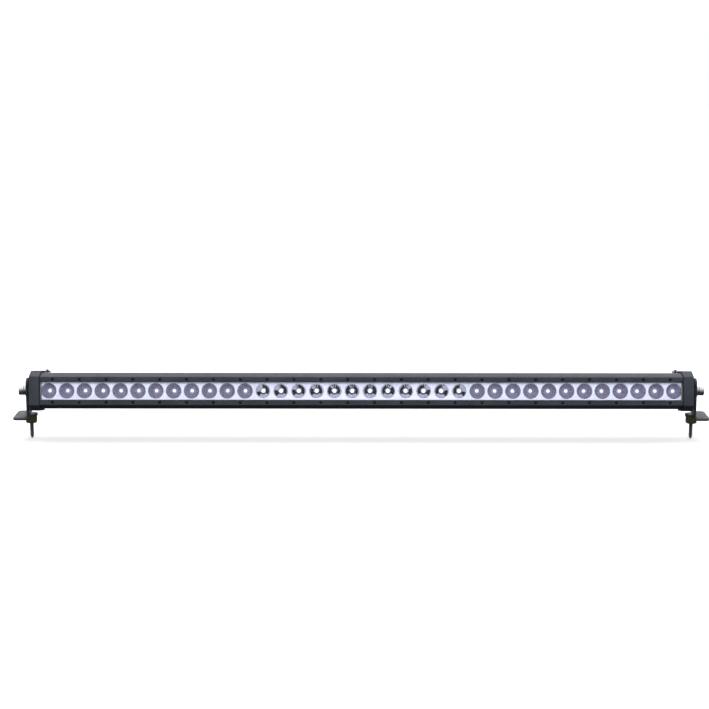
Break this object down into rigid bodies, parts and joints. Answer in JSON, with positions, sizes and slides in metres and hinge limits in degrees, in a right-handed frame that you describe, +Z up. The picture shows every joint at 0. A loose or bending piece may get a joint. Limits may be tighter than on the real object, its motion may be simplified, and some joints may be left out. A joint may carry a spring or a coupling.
{
  "type": "led light bar",
  "caption": "Long single-row LED light bar in a finned extrusion, tilting between two bracket feet with threaded studs.",
  "frame": {"origin": "midway between the two feet, on the surface that the hexagonal spacers bear on", "axes": "+X along the bar to the lamp's left end as it is seen from behind, the beam goes towards -Y, +Z up from the surface"},
  "size_m": [1.006, 0.0749, 0.1023],
  "materials": {
    "coated_aluminium": "fine black powder coat",
    "cast_cap": "fine textured black powder coat on a casting",
    "coated_steel": "satin black powder coat",
    "clear_lens": "clear hard-coated polycarbonate",
    "collimator": "moulded optical plastic, finely diffused",
    "mirror": "vacuum-metallised plastic",
    "silicone": "matte silicone",
    "thermal_pad": "soft silicone pad",
    "led_board": "white solder mask on an aluminium core",
    "driver_board": "green circuit board",
    "stainless": "stainless steel, turned",
    "black_steel": "black oxide steel",
    "yellow_zinc": "dark yellow-passivated zinc plate",
    "stud_steel": "zinc-plated steel",
    "black_nylon": "moulded nylon"
  },
  "bodies": {
    "feet": {"bracket_left": "coated_steel", "bracket_right": "coated_steel", "hex_spacer_left": "yellow_zinc", "hex_spacer_right": "yellow_zinc", "mounting_stud_left": "stud_steel", "mounting_stud_right": "stud_steel"},
    "lamp": {"breather_vent": "black_nylon", "cap_screw_left_1": "black_steel", "cap_screw_left_2": "black_steel", "cap_screw_left_3": "black_steel", "cap_screw_left_4": "black_steel", "cap_screw_right_1": "black_steel", "cap_screw_right_2": "black_steel", "cap_screw_right_3": "black_steel", "cap_screw_right_4": "black_steel", "collimator_strip_left": "collimator", "collimator_strip_right": "collimator", "driver_board": "driver_board", "end_cap_left": "cast_cap", "end_cap_right": "cast_cap", "end_gasket_left": "silicone", "end_gasket_right": "silicone", "flat_washer_left": "stainless", "flat_washer_right": "stainless", "gland_body": "black_nylon", "gland_nut": "black_nylon", "gland_seal": "silicone", "housing_extrusion": "coated_aluminium", "led_board_centre": "led_board", "led_board_left": "led_board", "led_board_right": "led_board", "lens_cover": "clear_lens", "lens_gasket": "silicone", "lower_retainer": "coated_aluminium", "pivot_insert_left": "stainless", "pivot_insert_right": "stainless", "pivot_spacer_left": "black_nylon", "pivot_spacer_right": "black_nylon", "reflector_strip": "mirror", "spring_washer_left": "stainless", "spring_washer_right": "stainless", "thermal_pad_centre": "thermal_pad", "thermal_pad_left": "thermal_pad", "thermal_pad_right": "thermal_pad", "tilt_bolt_left": "stainless", "tilt_bolt_right": "stainless", "tongue_screw_left": "black_steel", "tongue_screw_right": "black_steel", "upper_retainer": "coated_aluminium"}
  },
  "joints": [
    {"name": "bar_tilt", "type": "hinge", "parent": "feet", "child": "lamp", "pos_m": [0, 0, 0.0483], "axis": [1, 0, 0], "range_deg": [-20, 50]}
  ]
}
